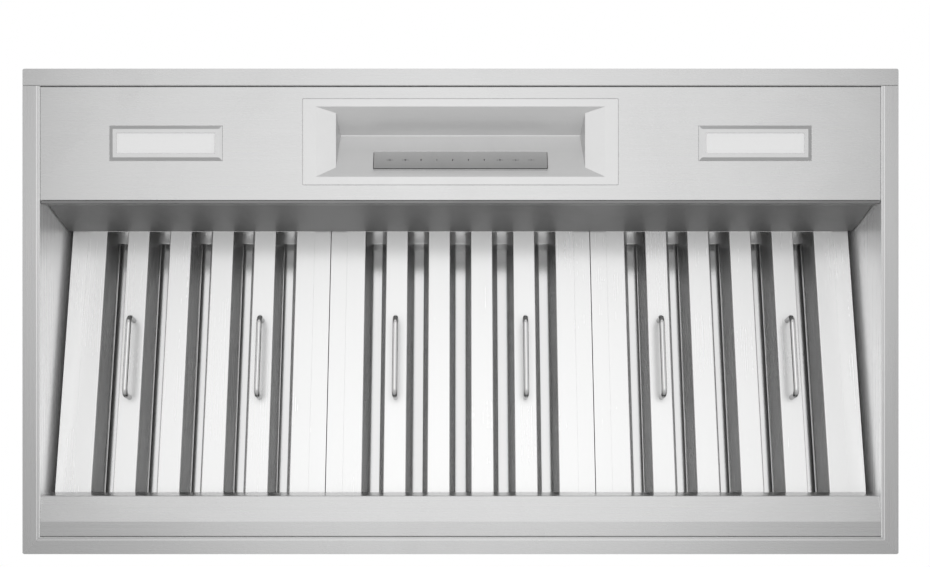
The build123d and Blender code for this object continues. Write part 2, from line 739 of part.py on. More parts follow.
# The side plates overlap the wrapper's edges and carry turned-out feet under the top panel.
for side, direction in (("left", -1), ("right", 1)):
    with BuildPart() as side_plate:
        with BuildSketch(Plane.YZ.offset(direction * scroll_half)):
            with BuildLine():
                volute_path(roof_z)
                Line((blower_y - volute_step - volute_end, roof_z), (tongue_y, roof_z))
            make_face()
            offset(amount=plate_rim)
            with Locations((blower_y, roof_z + volute_start)):
                Rectangle(4 * volute_end, 2 * volute_start, mode=Mode.SUBTRACT)
            with Locations(axis_point):
                Circle(inlet_flange - inlet_lap, mode=Mode.SUBTRACT)
        extrude(amount=direction * blower_sheet)
        with BuildSketch(Plane.XY.offset(roof_z)):
            with Locations((direction * (plate_x + foot_width / 2 - blower_sheet / 2), 0)):
                Rectangle(foot_width + blower_sheet, outlet_depth)
            with Locations((direction * plate_foot_x, 0)):
                with GridLocations(0, outlet_depth / 2, 1, 2):
                    Circle(screw_radius + screw_play, mode=Mode.SUBTRACT)
        extrude(amount=-blower_sheet)
    keep(side_plate, f"{side}_scroll_plate")

    # Bellmouth: a flange on the plate's outer face, rounded into a short throat.
    with BuildPart() as inlet_ring:
        with BuildSketch(Plane.XY.offset(blower_z)):
            with Locations((direction * plate_x, blower_y)):
                add(bent_sheet([(0, inlet_flange), (0, inlet_radius),
                                (-direction * inlet_depth, inlet_radius)], inlet_round,
                               blower_sheet, Side.LEFT if direction > 0 else Side.RIGHT))
        revolve(axis=Axis((0, blower_y, blower_z), (1, 0, 0)))
    keep(inlet_ring, f"{side}_inlet_ring")

# ================================================================ impeller and shaft
with BuildSketch() as blade:
    with BuildLine():
        RadiusArc((wheel_eye, 0), (wheel_radius - blower_sheet, blade_lead), -blade_radius)
        offset(amount=blade_sheet, side=Side.LEFT)
    make_face()

with BuildPart() as impeller:
    with BuildSketch(Plane.YZ.offset(-wheel_width / 2)):
        with Locations(axis_point):
            with PolarLocations(0, blade_count):
                add(blade.sketch)
    extrude(amount=wheel_width)
    for x in (-wheel_width / 2, wheel_width / 2 - wheel_ring):
        with BuildSketch(Plane.YZ.offset(x)):
            with Locations(axis_point):
                Circle(wheel_radius)
                Circle(wheel_radius - 2 * blower_sheet, mode=Mode.SUBTRACT)
        extrude(amount=wheel_ring)
    with BuildSketch(Plane.YZ.offset(-blower_sheet / 2)):
        with Locations(axis_point):
            Circle(wheel_radius - blower_sheet)
    extrude(amount=blower_sheet)
    with BuildSketch(Plane.YZ.offset(-hub_length / 2)):
        with Locations(axis_point):
            Circle(hub_radius)
    extrude(amount=hub_length)
    with BuildSketch(Plane.YZ.offset(-hub_length / 2)):
        with Locations(axis_point):
            Circle(shaft_radius + bearing_play)
    extrude(amount=hub_length, mode=Mode.SUBTRACT)
keep(impeller, "impeller")

motor_end = motor_start + motor_length
with BuildPart() as motor_shaft:
    with BuildSketch(Plane.YZ.offset(-hub_length / 2 - shaft_stub)):
        with Locations(axis_point):
            Circle(shaft_radius)
    extrude(amount=motor_end + hub_length / 2 + 2 * shaft_stub)
    chamfer(motor_shaft.faces().sort_by(Axis.X)[0].edges(), shaft_radius / 8)
    chamfer(motor_shaft.faces().sort_by(Axis.X)[-1].edges(), shaft_radius / 8)
keep(motor_shaft, "motor_shaft")

# ================================================================ motor and its bracket
with BuildPart() as blower_motor:
    with BuildSketch(Plane.YZ.offset(motor_start)):
        with Locations(axis_point):
            Circle(motor_radius)
    extrude(amount=motor_length)
    fillet(blower_motor.edges().filter_by(GeomType.CIRCLE), motor_round)
    with BuildSketch(Plane.YZ.offset(motor_start)):
        with Locations(axis_point):
            Circle(shaft_radius + 4 * bearing_play)
    extrude(amount=motor_length, mode=Mode.SUBTRACT)
    for x in (motor_start, motor_end - bearing_width):
        with BuildSketch(Plane.YZ.offset(x)):
            with Locations(axis_point):
                Circle(bearing_radius + bearing_play)
        extrude(amount=bearing_width, mode=Mode.SUBTRACT)
keep(blower_motor, "blower_motor")

with BuildPart() as motor_bearings:
    for x in (motor_start, motor_end - bearing_width):
        with BuildSketch(Plane.YZ.offset(x)):
            with Locations(axis_point):
                Circle(bearing_radius)
                Circle(shaft_radius + bearing_play, mode=Mode.SUBTRACT)
        extrude(amount=bearing_width)
keep(motor_bearings, "motor_bearings")

# Three arms run from a band on the motor to bosses on the right side plate.
arm_x = plate_x + blower_sheet + seat
with BuildPart() as motor_bracket:
    with BuildSketch(Plane.YZ.offset(arm_x)):
        with Locations(axis_point):
            Circle(motor_radius + seat + arm_sheet)
            with PolarLocations((motor_radius + arm_radius) / 2, arm_count, start_angle=arm_angle):
                Rectangle(arm_radius - motor_radius, arm_width)
            with PolarLocations(arm_radius, arm_count, start_angle=arm_angle):
                Circle(arm_width / 2)
            Circle(motor_radius + seat, mode=Mode.SUBTRACT)
    extrude(amount=arm_sheet)
    with BuildSketch(Plane.YZ.offset(arm_x)):
        with Locations(axis_point):
            Circle(motor_radius + seat + arm_sheet)
            Circle(motor_radius + seat, mode=Mode.SUBTRACT)
    extrude(amount=band_width)
    with BuildSketch(Plane.YZ.offset(plate_x)):
        with Locations(axis_point):
            with PolarLocations(arm_radius, arm_count, start_angle=arm_angle):
                Circle(arm_width / 2)
    extrude(amount=arm_x - plate_x)
    with BuildSketch(Plane.YZ.offset(plate_x)):
        with Locations(axis_point):
            with PolarLocations(arm_radius, arm_count, start_angle=arm_angle):
                Circle(screw_radius + screw_play)
    extrude(amount=arm_sheet + arm_x - plate_x, mode=Mode.SUBTRACT)
keep(motor_bracket, "motor_bracket")

# ================================================================ run capacitor
capacitor_z = roof_z - seat - capacitor_radius
with BuildPart() as run_capacitor:
    with BuildSketch(Plane.XZ.offset(-blower_y)):
        with Locations((capacitor_x, capacitor_z)):
            Circle(capacitor_radius)
    extrude(amount=capacitor_length / 2, both=True)
    fillet(run_capacitor.edges().filter_by(GeomType.CIRCLE), box_sheet)
keep(run_capacitor, "run_capacitor")

with BuildPart() as capacitor_strap:
    strap_radius = capacitor_radius + seat
    strap_top = roof_z - capacitor_z
    with BuildSketch(Plane.XZ.offset(-blower_y)):
        with Locations((capacitor_x, capacitor_z)):
            Circle(strap_radius + box_sheet)
            with Locations((0, strap_top)):
                Rectangle(2 * (strap_radius + box_sheet), strap_top,
                          align=(Align.CENTER, Align.MAX))
                Rectangle(2 * (strap_radius + strap_foot), box_sheet,
                          align=(Align.CENTER, Align.MAX))
            Circle(strap_radius, mode=Mode.SUBTRACT)
            with Locations((0, strap_top)):
                Rectangle(2 * strap_radius, strap_top, align=(Align.CENTER, Align.MAX),
                          mode=Mode.SUBTRACT)
                Rectangle(rim_length, housing_height, align=(Align.CENTER, Align.MIN),
                          mode=Mode.SUBTRACT)
    extrude(amount=strap_width / 2, both=True)
    with BuildSketch(Plane.XY.offset(roof_z - box_sheet)):
        with Locations((capacitor_x, blower_y)):
            with GridLocations(2 * strap_foot_x, 0, 2, 1):
                Circle(screw_radius + screw_play)
    extrude(amount=box_sheet, mode=Mode.SUBTRACT)
keep(capacitor_strap, "capacitor_strap")

# ================================================================ duct collar
collar_inner = collar_radius - collar_sheet
axle_z = housing_height + axle_height
stop_z = axle_z - flap_sheet / 2 - seat / 2
with BuildPart() as duct_collar:
    with BuildSketch(Plane.XZ):
        add(bent_sheet([(collar_radius + collar_flange, housing_height),
                        (collar_inner, housing_height),
                        (collar_inner, housing_height + collar_height)],
                       collar_sheet / 2, collar_sheet, Side.RIGHT))
    revolve(axis=Axis.Z)
    with BuildSketch(Plane.XY.offset(stop_z)):
        with PolarLocations(collar_inner - stop_length / 2, stop_count, start_angle=stop_angle):
            Rectangle(stop_length + collar_sheet, stop_width)
    extrude(amount=-collar_sheet)
    with BuildSketch(Plane.XY.offset(housing_height)):
        with PolarLocations(screw_ring, collar_screw_count, start_angle=screw_angle):
            Circle(screw_radius + screw_play)
    extrude(amount=collar_sheet, mode=Mode.SUBTRACT)
keep(duct_collar, "duct_collar")

# ================================================================ backdraught damper
with BuildPart() as damper_axle:
    with BuildSketch(Plane.YZ.offset(-(collar_inner - seat))):
        with Locations((0, axle_z)):
            Circle(axle_radius)
    extrude(amount=2 * (collar_inner - seat))
keep(damper_axle, "damper_axle")

with BuildPart() as damper_brackets:
    for direction in (-1, 1):
        with BuildSketch(Plane.YZ.offset(direction * (collar_inner - seat))):
            with Locations((0, axle_z)):
                RectangleRounded(2 * bracket_half, 2 * bracket_half, bracket_half / 4)
                Circle(axle_radius + bearing_play, mode=Mode.SUBTRACT)
        extrude(amount=-direction * bracket_depth)
keep(damper_brackets, "damper_brackets")

# Each flap is a half disc whose knuckles turn on the axle; their places are staggered.
knuckle_bore = axle_radius + knuckle_play
knuckle_radius = knuckle_bore + knuckle_wall
flap_radius = collar_inner - flap_play
for name, direction, offset_x in (("front_damper_flap", -1, front_knuckle_x),
                                  ("rear_damper_flap", 1, rear_knuckle_x)):
    with BuildPart() as damper_flap:
        with BuildSketch(Plane.XY.offset(axle_z - flap_sheet / 2)):
            Circle(flap_radius)
            with Locations((0, direction * (flap_edge - flap_radius))):
                Rectangle(2 * flap_radius, 2 * flap_radius, mode=Mode.SUBTRACT)
            with GridLocations(2 * collar_inner, 0, 2, 1):
                Rectangle(2 * (bracket_depth + flap_play), 4 * bracket_half, mode=Mode.SUBTRACT)
            with Locations((-offset_x, direction * (flap_edge + knuckle_bore) / 2),
                           (offset_x, direction * (flap_edge + knuckle_bore) / 2)):
                Rectangle(knuckle_length, flap_edge - knuckle_bore + 2 * knuckle_play)
        extrude(amount=flap_sheet)
        for x in (-offset_x, offset_x):
            with BuildSketch(Plane.YZ.offset(x - knuckle_length / 2)):
                with Locations((0, axle_z)):
                    Circle(knuckle_radius)
            extrude(amount=knuckle_length)
            with BuildSketch(Plane.YZ.offset(x - knuckle_length / 2)):
                with Locations((0, axle_z)):
                    Circle(knuckle_bore)
            extrude(amount=knuckle_length, mode=Mode.SUBTRACT)
    keep(damper_flap, name)

# ================================================================ junction box and LED driver
cover_z = roof_z - junction_height
with BuildPart() as junction_box:
    with BuildSketch(Plane.XY.offset(cover_z)):
        with Locations((junction_x, junction_y)):
            RectangleRounded(junction_length, junction_depth, box_corner)
            RectangleRounded(junction_length - 2 * box_sheet, junction_depth - 2 * box_sheet,
                             box_corner - box_sheet, mode=Mode.SUBTRACT)
    extrude(amount=junction_height)
    with BuildSketch(Plane.XY.offset(cover_z)):
        with Locations((junction_x, junction_y)):
            with GridLocations(junction_length - cover_lap, 0, 2, 1):
                Rectangle(cover_lap - box_sheet, junction_depth / 3)
            with GridLocations(junction_length - cover_lap, 0, 2, 1):
                Circle(screw_radius + screw_play, mode=Mode.SUBTRACT)
    extrude(amount=box_sheet)
keep(junction_box, "junction_box")

with BuildPart() as junction_cover:
    with BuildSketch(Plane.XY.offset(cover_z)):
        with Locations((junction_x, junction_y)):
            RectangleRounded(junction_length, junction_depth, box_corner)
            with GridLocations(junction_length - cover_lap, 0, 2, 1):
                Circle(screw_radius + screw_play, mode=Mode.SUBTRACT)
    extrude(amount=-box_sheet)
keep(junction_cover, "junction_cover")

with BuildPart() as led_driver:
    with BuildSketch(Plane.XY.offset(roof_z)):
        with Locations((driver_x, driver_y)):
            Rectangle(driver_length, driver_depth)
    extrude(amount=-driver_height)
    fillet(led_driver.faces().sort_by(Axis.Z)[0].edges(), box_corner)
    with BuildSketch(Plane.XY.offset(roof_z)):
        with Locations((driver_x, driver_y)):
            Rectangle(driver_length + 2 * driver_foot, driver_depth / 2)
            with GridLocations(2 * driver_foot_x, 0, 2, 1):
                Circle(screw_radius + screw_play, mode=Mode.SUBTRACT)
    extrude(amount=-box_sheet)
keep(led_driver, "led_driver")

# ================================================================ fasteners
with BuildPart() as cover_screws:
    with Locations(Plane(origin=(junction_x, junction_y, cover_z - box_sheet), z_dir=(0, 0, -1))):
        with GridLocations(junction_length - cover_lap, 0, 2, 1):
            add(screw(2 * box_sheet + screw_play))
keep(cover_screws, "cover_screws")

with BuildPart() as bracket_screws:
    with Locations(Plane.YZ.offset(arm_x + arm_sheet)):
        with Locations(axis_point):
            with PolarLocations(arm_radius, arm_count, start_angle=arm_angle):
                add(screw(arm_sheet))
keep(bracket_screws, "bracket_screws")

# Screws through the top panel: the collar's from above, and those of the feet from below.
with BuildPart() as roof_screws:
    with Locations(Plane.XY.offset(housing_height + collar_sheet)):
        with PolarLocations(screw_ring, collar_screw_count, start_angle=screw_angle):
            add(screw(collar_sheet + sheet))
    for places, foot in ((feet_under_roof[:4], blower_sheet), (feet_under_roof[4:], box_sheet)):
        with Locations(Plane(origin=(0, 0, roof_z - foot), x_dir=(1, 0, 0), z_dir=(0, 0, -1))):
            with Locations(*[(x, -y) for x, y in places]):
                add(screw(foot + sheet))
keep(roof_screws, "roof_screws")

# Blind rivets through the walls and the top panel's lip, with their heads outside.
with BuildPart() as housing_rivets:
    add(rivets(0, sheet))
    for plane, half, pitch, count in ((Plane.XZ, opening_y, rivet_pitch_x, rivet_count_x),
                                      (Plane.YZ, opening_x, rivet_pitch_y, rivet_count_y)):
        for direction in (-1, 1):
            with BuildSketch(plane.offset(direction * (half + sheet))):
                with Locations((0, rivet_z)):
                    with GridLocations(pitch, 0, count, 1):
                        Circle(rivet_head)
            extrude(amount=direction * rivet_head_height, taper=rivet_head_taper)
keep(housing_rivets, "housing_rivets")
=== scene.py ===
# %% [markdown]
# # A range hood insert, dressed for the camera
# The real object is a stainless steel tray that hangs upside down under a kitchen cabinet. Nearly
# all of it is bent sheet, so its solids already have the right shape and thickness. What Blender
# adds is the finish: brushed, polished, zinc-coated and painted metal, frosted plastic and the
# printed marks of the control strip. This first step brings in the solids as a fixed frame.

import math

import bpy
from mathutils import Matrix, Vector


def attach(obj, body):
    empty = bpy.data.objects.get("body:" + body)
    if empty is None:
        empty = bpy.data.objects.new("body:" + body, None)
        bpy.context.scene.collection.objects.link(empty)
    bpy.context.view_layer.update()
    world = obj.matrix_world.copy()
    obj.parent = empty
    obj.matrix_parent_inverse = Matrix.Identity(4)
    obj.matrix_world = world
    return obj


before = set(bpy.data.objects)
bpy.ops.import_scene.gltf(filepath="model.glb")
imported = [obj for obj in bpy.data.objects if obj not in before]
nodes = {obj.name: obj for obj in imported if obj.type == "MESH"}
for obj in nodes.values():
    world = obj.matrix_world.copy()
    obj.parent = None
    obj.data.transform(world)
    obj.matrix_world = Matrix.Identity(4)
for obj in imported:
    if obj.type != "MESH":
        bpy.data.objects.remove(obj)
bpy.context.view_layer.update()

# %% [markdown]
# ## The camera
# The photograph looks straight up into the hood, with the cook's side at the top of the picture.
# A camera that is turned half a turn about X looks along +Z and has -Y at the top. It stands a
# metre and a half below the rim, where the rim fills the frame as it does in the photograph.
# The rim sits a little low and left there, so the lens is shifted and the camera stays square.

# %% Camera
picture_width = 930
rim_centre_px = (460.5, 311.4)
picture_centre_px = (465.0, 283.5)
camera_drop = 1.512

lens = bpy.data.cameras.new("under_the_hood")
lens.lens = 50
lens.sensor_width = 36
lens.shift_x = (picture_centre_px[0] - rim_centre_px[0]) / picture_width
lens.shift_y = (rim_centre_px[1] - picture_centre_px[1]) / picture_width
eye = bpy.data.objects.new("under_the_hood", lens)
eye.location = (0, 0, -camera_drop)
eye.rotation_euler = (math.pi, 0, 0)
bpy.context.collection.objects.link(eye)
bpy.context.scene.camera = eye
print(f"camera {eye.location.z:.3f} m, shift {lens.shift_x:.4f}, {lens.shift_y:.4f}")

# %% [markdown]
# ## Shaders in a few words
# A finish is a tree of nodes whose sockets are linked, and in code that soon gets long. A few
# helpers keep it short. The first two join sockets and add a node. The next two are the nodes that
# come up most often: a sum of some kind, and a number that slides from one value to another. What is
# the same all over a surface is set on the shader's own socket, where the exported model keeps it.

# %% Shader helpers


def link(tree, output, socket):
    """Join two sockets."""
    tree.links.new(output, socket)


def node(tree, kind, settings=None, inputs=None):
    """One shader node, with its options and the values or links of its sockets."""
    made = tree.nodes.new(kind)
    for option, value in (settings or {}).items():
        setattr(made, option, value)
    for socket, value in (inputs or {}).items():
        if isinstance(value, bpy.types.NodeSocket):
            link(tree, value, made.inputs[socket])
        else:
            made.inputs[socket].default_value = value
    return made


def maths(tree, operation, *values, clamp=False):
    """The result of one Math node, whose values are numbers or sockets."""
    settings = {"operation": operation, "use_clamp": clamp}
    return node(tree, "ShaderNodeMath", settings, dict(enumerate(values))).outputs[0]


def blend(tree, value, start, end, low, high):
    """A number that runs from low to high while value runs from start to end."""
    return node(tree, "ShaderNodeMapRange", inputs={"Value": value, "From Min": start, "From Max": end,
                                                    "To Min": low, "To Max": high}).outputs["Result"]


def new_finish(name, colour, metallic, roughness, **constants):
    """A material with one Principled shader; what stays constant is set on the shader itself."""
    material = bpy.data.materials.new(name)
    material.use_nodes = True
    tree = material.node_tree
    shader = tree.nodes["Principled BSDF"]
    shader.inputs["Base Color"].default_value = (*colour, 1)
    shader.inputs["Metallic"].default_value = metallic
    shader.inputs["Roughness"].default_value = roughness
    for socket, value in constants.items():
        shader.inputs[socket.replace("_", " ")].default_value = value
    return material, tree, shader


# %% [markdown]
# ## The floor
# The hood hangs high above a plain pale floor. The floor lies well below the camera, so the
# photograph's view shows only the world behind the hood, and a camera that looks up from any other
# low angle isn't under the floor either. Broad soft clouds in its grey keep it from looking flat.

# %% Floor
floor_depth = -3.5
floor_half = 12.0
floor_corners = [(x * floor_half, y * floor_half, floor_depth)
                 for x, y in ((-1, -1), (1, -1), (1, 1), (-1, 1))]

floor_mesh = bpy.data.meshes.new("floor")
floor_mesh.from_pydata(floor_corners, [], [(0, 1, 2, 3)])
floor = bpy.data.objects.new("floor", floor_mesh)
bpy.context.collection.objects.link(floor)

floor_paint, tree, shader = new_finish("floor_paint", (0.78, 0.78, 0.78), metallic=0, roughness=0.6)
cloud = node(tree, "ShaderNodeTexNoise", inputs={"Scale": 1.5, "Detail": 3.0})
link(tree, blend(tree, cloud.outputs["Fac"], 0, 1, 0.76, 0.80), shader.inputs["Base Color"])
floor_mesh.materials.append(floor_paint)
print(f"floor {2 * floor_half:.0f} m wide, {-floor_depth:.1f} m below the rim")

# %% [markdown]
# ## The background
# The world is white where the camera or a reflection looks at it, so steel shows the same white
# that stands behind it. As light on the object it is a softer grey, so that white metal doesn't
# burn out. The Light Path node tells these rays apart.

# %% World
sky_as_light = 0.55
sky_as_seen = 1.0

world = bpy.data.worlds.new("studio")
bpy.context.scene.world = world
world.use_nodes = True
tree = world.node_tree
background = tree.nodes["Background"]
rays = node(tree, "ShaderNodeLightPath").outputs
seen = maths(tree, "MAXIMUM", rays["Is Camera Ray"], rays["Is Glossy Ray"])
seen = maths(tree, "MAXIMUM", seen, rays["Is Transmission Ray"])
link(tree, blend(tree, seen, 0, 1, sky_as_light, sky_as_seen), background.inputs["Color"])
background.inputs["Strength"].default_value = 1.0
print(f"world {sky_as_seen} where it is seen, {sky_as_light} as light")

# %% [markdown]
# ## The lights
# The steel shows what stands in front of it, so the light is chosen for its reflection. The
# photograph has one broad glow: brightest under the light panel, softer to the rear and to both
# ends. Three soft lamps of growing size lie below the hood, one in the other, so that their edges
# melt together. A fourth lies in front of them, where the steep facet of the finger recess looks.
# The last one hangs above and in front, and lights the duct side for the other views.

# %% Lights
glow_depth = -1.60


def soft_lamp(name, place, aim, size, radiance):
    """An oval lamp; its power is set from how bright its face looks."""
    face_area = math.pi / 4 * size[0] * size[1]
    lamp = bpy.data.lights.new(name, "AREA")
    lamp.shape = "ELLIPSE"
    lamp.size, lamp.size_y = size
    lamp.energy = radiance * math.pi * face_area
    holder = bpy.data.objects.new(name, lamp)
    holder.location = place
    holder.rotation_euler = (Vector(aim) - Vector(place)).to_track_quat("-Z", "Y").to_euler()
    holder.visible_camera = False
    bpy.context.collection.objects.link(holder)
    print(f"{name}: {lamp.energy:.1f} W")


for name, middle_y, size, radiance in (("glow_wide", -0.30, (2.1, 2.1), 0.42),
                                       ("glow_middle", -0.20, (1.85, 1.8), 0.86),
                                       ("glow_core", -0.32, (1.35, 1.7), 1.13),
                                       ("glow_front", -2.60, (2.1, 1.2), 0.29)):
    soft_lamp(name, (0, middle_y, glow_depth), (0, middle_y, 0), size, radiance)
soft_lamp("above", place=(0.7, -1.4, 2.6), aim=(0, 0, 0.2), size=(3.2, 2.6), radiance=0.4)

# %% [markdown]
# ## Effects that several finishes share
# Grain, rounded edges with a painted highlight, handling and zinc crystals each appear in more than
# one finish. Each is a node group: built once, with named inputs, and placed in a material with that
# finish's own values. One helper starts such a group, and the other places it.

# %% Group helpers
NUMBER, TRIPLE = "NodeSocketFloat", "NodeSocketVector"


def new_group(name, inputs, outputs):
    """An empty shader group with its named sockets."""
    group = bpy.data.node_groups.new(name, "ShaderNodeTree")
    for socket, kind, value in inputs:
        made = group.interface.new_socket(socket, in_out="INPUT", socket_type=kind)
        made.default_value = value
    for socket, kind in outputs:
        group.interface.new_socket(socket, in_out="OUTPUT", socket_type=kind)
    return group, node(group, "NodeGroupInput").outputs, node(group, "NodeGroupOutput").inputs


def use(tree, group, **inputs):
    """A group placed in a material with this finish's own values."""
    return node(tree, "ShaderNodeGroup", {"node_tree": group}, inputs).outputs


# %% [markdown]
# Sheet metal is brushed by a belt, so its scratches run one way: long, thin and close together. A
# noise that is stretched along the belt gives them. The group takes the length and width of a
# scratch in metres, so every finish can ask for its own grain at its real size.

# %% Brushed grain group
broad_share = 0.5

grain, given, result = new_group(
    "brushed_grain",
    [("Scratch", TRIPLE, (0.2, 0.001, 0.001)), ("Turn", TRIPLE, (0, 0, 0)), ("Contrast", NUMBER, 0.1)],
    [("Shade", NUMBER), ("Height", NUMBER)])
where = node(grain, "ShaderNodeTexCoord").outputs["Object"]
along = node(grain, "ShaderNodeMapping", {"vector_type": "TEXTURE"},
             {"Vector": where, "Rotation": given["Turn"], "Scale": given["Scratch"]}).outputs["Vector"]
fine = node(grain, "ShaderNodeTexNoise",
            inputs={"Vector": along, "Scale": 1.0, "Detail": 2.0, "Roughness": 0.6}).outputs["Fac"]
broad = node(grain, "ShaderNodeTexNoise",
             inputs={"Vector": along, "Scale": 0.12, "Detail": 2.0}).outputs["Fac"]
both = maths(grain, "MULTIPLY_ADD", broad, broad_share, fine)
centred = maths(grain, "SUBTRACT", both, 0.5 + broad_share * 0.5)  # each noise averages a half
link(grain, maths(grain, "MULTIPLY_ADD", centred, given["Contrast"], 1.0), result["Shade"])
link(grain, fine, result["Height"])
print("group:", grain.name)

# %% [markdown]
# A folded or cut edge is rounded. The Bevel node gives the rounded normal without touching the mesh.
# Where it departs from the flat normal, the mask is high. The finishes add this mask to their colour:
# a painted highlight, a hairline of light along each edge.

# %% Edge group
edge, given, result = new_group(
    "edge_painted_highlight", [("Radius", NUMBER, 0.0005), ("Gain", NUMBER, 2.0)],
    [("Mask", NUMBER), ("Normal", TRIPLE)])
rounded = node(edge, "ShaderNodeBevel", {"samples": 4}, {"Radius": given["Radius"]}).outputs["Normal"]
flat = node(edge, "ShaderNodeNewGeometry").outputs["Normal"]
agree = node(edge, "ShaderNodeVectorMath", {"operation": "DOT_PRODUCT"}, {0: rounded, 1: flat})
apart = maths(edge, "SUBTRACT", 1.0, agree.outputs["Value"])
link(edge, maths(edge, "MULTIPLY", apart, given["Gain"], clamp=True), result["Mask"])
link(edge, rounded, result["Normal"])
print("group:", edge.name)

# %% [markdown]
# Even a new hood has been handled and has stood in a warehouse. Soft patches, where the metal is a
# little duller, keep large plain panels from looking like plastic film.

# %% Handling group
patch_start, patch_full = 0.42, 0.68  # the noise values between which a patch fades in

handled, given, result = new_group(
    "handling_marks", [("Patch", NUMBER, 0.12), ("Amount", NUMBER, 0.05)], [("Mask", NUMBER)])
where = node(handled, "ShaderNodeTexCoord").outputs["Object"]
patches = node(handled, "ShaderNodeTexNoise",
               inputs={"Vector": where, "Scale": maths(handled, "DIVIDE", 1.0, given["Patch"]),
                       "Detail": 5.0, "Roughness": 0.62, "Distortion": 0.6}).outputs["Fac"]
soft = node(handled, "ShaderNodeMapRange", {"interpolation_type": "SMOOTHSTEP"},
            {"Value": patches, "From Min": patch_start, "From Max": patch_full}).outputs["Result"]
link(handled, maths(handled, "MULTIPLY", soft, given["Amount"]), result["Mask"])
print("group:", handled.name)

# %% [markdown]
# Hot-dip zinc freezes into flat crystals, the spangle, a few millimetres to a centimetre across. A
# Voronoi pattern gives each crystal its own grey, and a little noise bends their borders.

# %% Zinc group
border_bend = 0.006

zinc, given, result = new_group(
    "zinc_spangle", [("Crystal", NUMBER, 0.009), ("Contrast", NUMBER, 0.2)],
    [("Shade", NUMBER), ("Tone", NUMBER)])
where = node(zinc, "ShaderNodeTexCoord").outputs["Object"]
wavy = node(zinc, "ShaderNodeTexNoise", inputs={"Vector": where, "Scale": 90.0, "Detail": 2.0})
bent = node(zinc, "ShaderNodeVectorMath", {"operation": "MULTIPLY_ADD"},
            {0: wavy.outputs["Color"], 1: (border_bend, border_bend, border_bend), 2: where})
crystals = node(zinc, "ShaderNodeTexVoronoi",
                inputs={"Vector": bent.outputs["Vector"],
                        "Scale": maths(zinc, "DIVIDE", 1.0, given["Crystal"])})
split = node(zinc, "ShaderNodeSeparateColor", inputs={"Color": crystals.outputs["Color"]}).outputs
centred = maths(zinc, "SUBTRACT", split["Red"], 0.5)
link(zinc, maths(zinc, "MULTIPLY_ADD", centred, given["Contrast"], 1.0), result["Shade"])
link(zinc, split["Green"], result["Tone"])
print("group:", zinc.name)

# %% [markdown]
# ## Brushed and polished steel
# One recipe serves every bare sheet of the hood: a neutral grey metal whose colour, roughness and
# height follow the grain, with a highlight painted along its rounded edges and dull handled patches.
# Each sheet sets its own grey, grain direction and polish. Where one piece carries two greys, painted
# light on some of its faces and painted shade on others, a function given as tint says which face gets
# which.

# %% Steel recipe
sheet_edge = 0.0004
texture_depth = 0.0002


def brushed_steel(name, grey, roughness, scratch, turn=(0, 0, 0), contrast=0.05, bump=0.02,
                  edge_highlight_gain=0.35, marks=0.025, rough_swing=0.25, metallic=1.0, tint=None):
    """Bare sheet: grain in colour, roughness and height, a painted highlight on edges, faint handling.
    """
    material, tree, shader = new_finish(name, (grey, grey, grey), metallic, roughness)
    base = tint(tree, shader, grey) if tint else grey
    lines = use(tree, grain, Scratch=scratch, Turn=turn, Contrast=contrast)
    rounded_edge_highlight = use(tree, edge, Radius=sheet_edge, Gain=edge_highlight_gain)
    dull = use(tree, handled, Patch=0.16, Amount=marks)["Mask"]

    tone = maths(tree, "MULTIPLY", lines["Shade"], base)
    # the edge mask is added to the colour: a painted highlight along every edge
    tone = maths(tree, "ADD", tone, rounded_edge_highlight["Mask"], clamp=True)
    link(tree, maths(tree, "SUBTRACT", tone, dull), shader.inputs["Base Color"])

    polish = blend(tree, lines["Height"], 0, 1,
                   roughness * (1 - rough_swing), roughness * (1 + rough_swing))
    link(tree, maths(tree, "ADD", polish, dull), shader.inputs["Roughness"])

    relief = node(tree, "ShaderNodeBump", inputs={"Strength": bump, "Distance": texture_depth,
                                                  "Height": lines["Height"], "Normal": rounded_edge_highlight["Normal"]})
    link(tree, relief.outputs["Normal"], shader.inputs["Normal"])
    return material


# %% [markdown]
# ## Faces that differ on one piece
# The side walls, the filters and the handles aren't the same grey all round: some of their faces
# carry painted light and others painted shade. A face is known by where it lies and which way it
# looks, both taken from the object itself, so the grey stays with the metal wherever the camera goes.
# The filters lean, and so does the direction their faces look in.

# %% Place and direction
filter_lean = math.radians(13.09)
into_the_room = (0, -math.sin(filter_lean), -math.cos(filter_lean))


def place_on_object(tree):
    """The three coordinates of a point of the surface, in metres."""
    where = node(tree, "ShaderNodeTexCoord").outputs["Object"]
    return node(tree, "ShaderNodeSeparateXYZ", inputs={"Vector": where}).outputs


def looks_along(tree, direction):
    """1 where the surface faces that direction, 0 at right angles to it, -1 where it faces away."""
    normal = node(tree, "ShaderNodeTexCoord").outputs["Normal"]
    return node(tree, "ShaderNodeVectorMath", {"operation": "DOT_PRODUCT"},
                {0: normal, 1: direction}).outputs["Value"]


print("filter faces look along", tuple(round(v, 3) for v in into_the_room))

# %% [markdown]
# On the side walls, flange and outside are belt-brushed to a mid grey, and the inside is painted pale
# and made less metallic: painted light. A face looks inwards where its normal points against its own
# place along X. On the filters, the faces that look into the room are painted paler and made less
# metallic, painted light that makes them read white under the lamps below, and the folded sides stay
# bare. The handles are drawn rod, polished where they look into the room, and their flanks are painted
# darker: painted shade that stands in for a dark reflection.

# %% Two greys on one piece: painted light and shade
# painted light on the side walls' inner faces, the filters' folded sides, painted shade on the handles'
# flanks
inside_painted_light_grey, fold_grey, flank_painted_shade_grey = 0.95, 0.88, 0.26
# the painted-light faces are also made less metallic
pale_metallic = 0.6  # a pale skin scatters light, so it mirrors less than bare metal


